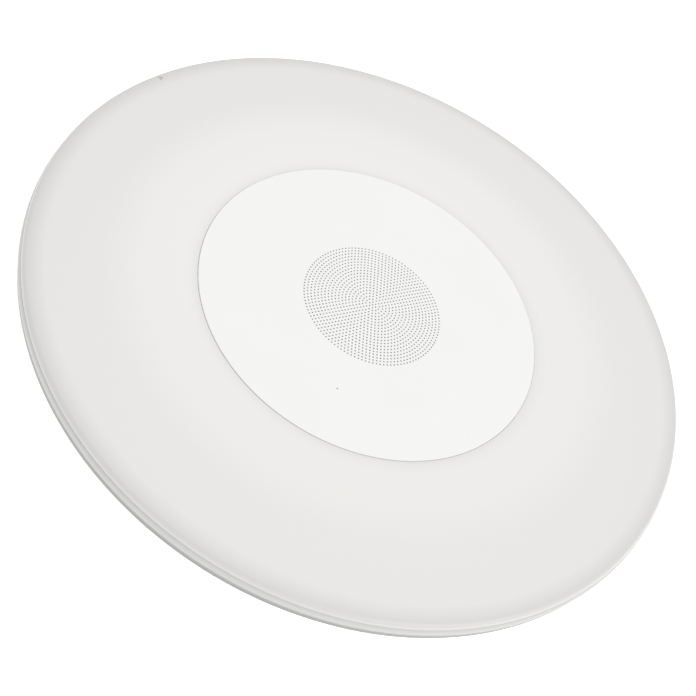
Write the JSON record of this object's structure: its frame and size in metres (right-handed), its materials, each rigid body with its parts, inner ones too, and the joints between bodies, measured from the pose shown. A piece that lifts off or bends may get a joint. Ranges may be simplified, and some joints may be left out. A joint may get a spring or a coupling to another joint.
{
  "type": "ceiling light with wireless speaker",
  "caption": "Round flush ceiling light with an opal diffuser ring and a perforated centre panel over a wireless loudspeaker; the cover pulls off its spring clips.",
  "frame": {"origin": "centre of the ceiling side: z = 0 is the ceiling plane, where the mounting plate and the foam seal touch, and the light's axis is x = y = 0", "axes": "+Z out of the light into the room; -Y towards the receiver window in the centre panel; +X completes the right-handed frame"},
  "size_m": [0.4795, 0.4796, 0.0682],
  "materials": {
    "opal_acrylic": "satin opal",
    "white_abs": "fine matt",
    "white_painted_steel": "satin powder coat",
    "zinc_plated_steel": "zinc plated",
    "spring_steel": "bright rolled",
    "ceiling_foam": "closed cell foam",
    "black_rubber": "matt",
    "light_board": "white solder mask",
    "circuit_board": "green solder mask",
    "tinned_can": "tin plated",
    "heatsink_aluminium": "anodised",
    "black_epoxy": "moulded",
    "terminal_grey": "moulded",
    "lever_orange": "moulded",
    "wire_brown": "smooth insulation",
    "wire_blue": "smooth insulation",
    "wire_white": "smooth insulation",
    "wire_red": "smooth insulation",
    "black_abs": "fine texture",
    "basket_paint": "satin",
    "ferrite": "ground",
    "cone_paper": "pressed pulp",
    "copper_winding": "lacquered wire",
    "spider_cloth": "resin treated",
    "gasket_foam": "open cell foam",
    "acoustic_cloth": "woven",
    "clear_acrylic": "polished"
  },
  "bodies": {
    "base": {"base_pan": "white_painted_steel", "ceiling_seal": "ceiling_foam", "cable_grommet": "black_rubber", "driver_case": "white_abs", "driver_lid": "white_abs", "driver_board": "circuit_board", "audio_board": "circuit_board", "wireless_module": "tinned_can", "amplifier_heatsink": "heatsink_aluminium", "ir_receiver": "black_epoxy", "terminal_block": "terminal_grey", "live_lead": "wire_brown", "neutral_lead": "wire_blue", "led_lead": "wire_white", "audio_power_lead": "wire_red", "speaker_lead": "wire_white", "speaker_box": "black_abs", "speaker_basket": "basket_paint", "speaker_top_plate": "zinc_plated_steel", "speaker_magnet": "ferrite", "speaker_yoke": "zinc_plated_steel", "speaker_gasket": "gasket_foam", "speaker_surround": "black_rubber", "speaker_spider": "spider_cloth", "cover_clip_1": "spring_steel", "led_board_1": "light_board", "speaker_screw_1": "zinc_plated_steel", "cover_clip_2": "spring_steel", "led_board_2": "light_board", "speaker_screw_2": "zinc_plated_steel", "cover_clip_3": "spring_steel", "led_board_3": "light_board", "speaker_screw_3": "zinc_plated_steel", "cover_clip_4": "spring_steel", "led_board_4": "light_board", "speaker_screw_4": "zinc_plated_steel", "board_post_1": "white_abs", "board_screw_1": "zinc_plated_steel", "board_post_2": "white_abs", "board_screw_2": "zinc_plated_steel"},
    "bracket": {"mounting_plate": "zinc_plated_steel", "bracket_stud_1": "zinc_plated_steel", "bracket_stud_2": "zinc_plated_steel", "bracket_stud_3": "zinc_plated_steel"},
    "cover": {"diffuser": "opal_acrylic", "rim_ring": "white_abs", "front_panel": "white_abs", "panel_clamp": "white_painted_steel", "panel_screw_1": "zinc_plated_steel", "panel_screw_2": "zinc_plated_steel", "panel_screw_3": "zinc_plated_steel", "grille_cloth": "acoustic_cloth", "light_pipe": "clear_acrylic"},
    "cone": {"speaker_cone": "cone_paper", "dust_cap": "cone_paper", "voice_coil": "copper_winding"},
    "lever_1": {"terminal_lever_1": "lever_orange"},
    "lever_2": {"terminal_lever_2": "lever_orange"},
    "lever_3": {"terminal_lever_3": "lever_orange"}
  },
  "joints": [
    {"name": "bracket_turn", "type": "hinge", "parent": "base", "child": "bracket", "pos_m": [0, 0, 0], "axis": [0, 0, 1], "range_deg": [0, 15]},
    {"name": "cover_lift", "type": "slide", "parent": "base", "child": "cover", "axis": [0, 0, 1], "range_m": [0, 0.08]},
    {"name": "cone_travel", "type": "slide", "parent": "base", "child": "cone", "axis": [0, 0, 1], "range_m": [-0.003, 0.003], "stiffness_N_per_m": 2000, "deforming": ["speaker_surround", "speaker_spider"]},
    {"name": "lever_1_open", "type": "hinge", "parent": "base", "child": "lever_1", "pos_m": [-0.084, -0.0104, 0.019], "axis": [0, 1, 0], "range_deg": [0, 85]},
    {"name": "lever_2_open", "type": "hinge", "parent": "base", "child": "lever_2", "pos_m": [-0.084, 0, 0.019], "axis": [0, 1, 0], "range_deg": [0, 85]},
    {"name": "lever_3_open", "type": "hinge", "parent": "base", "child": "lever_3", "pos_m": [-0.084, 0.0104, 0.019], "axis": [0, 1, 0], "range_deg": [0, 85]}
  ]
}
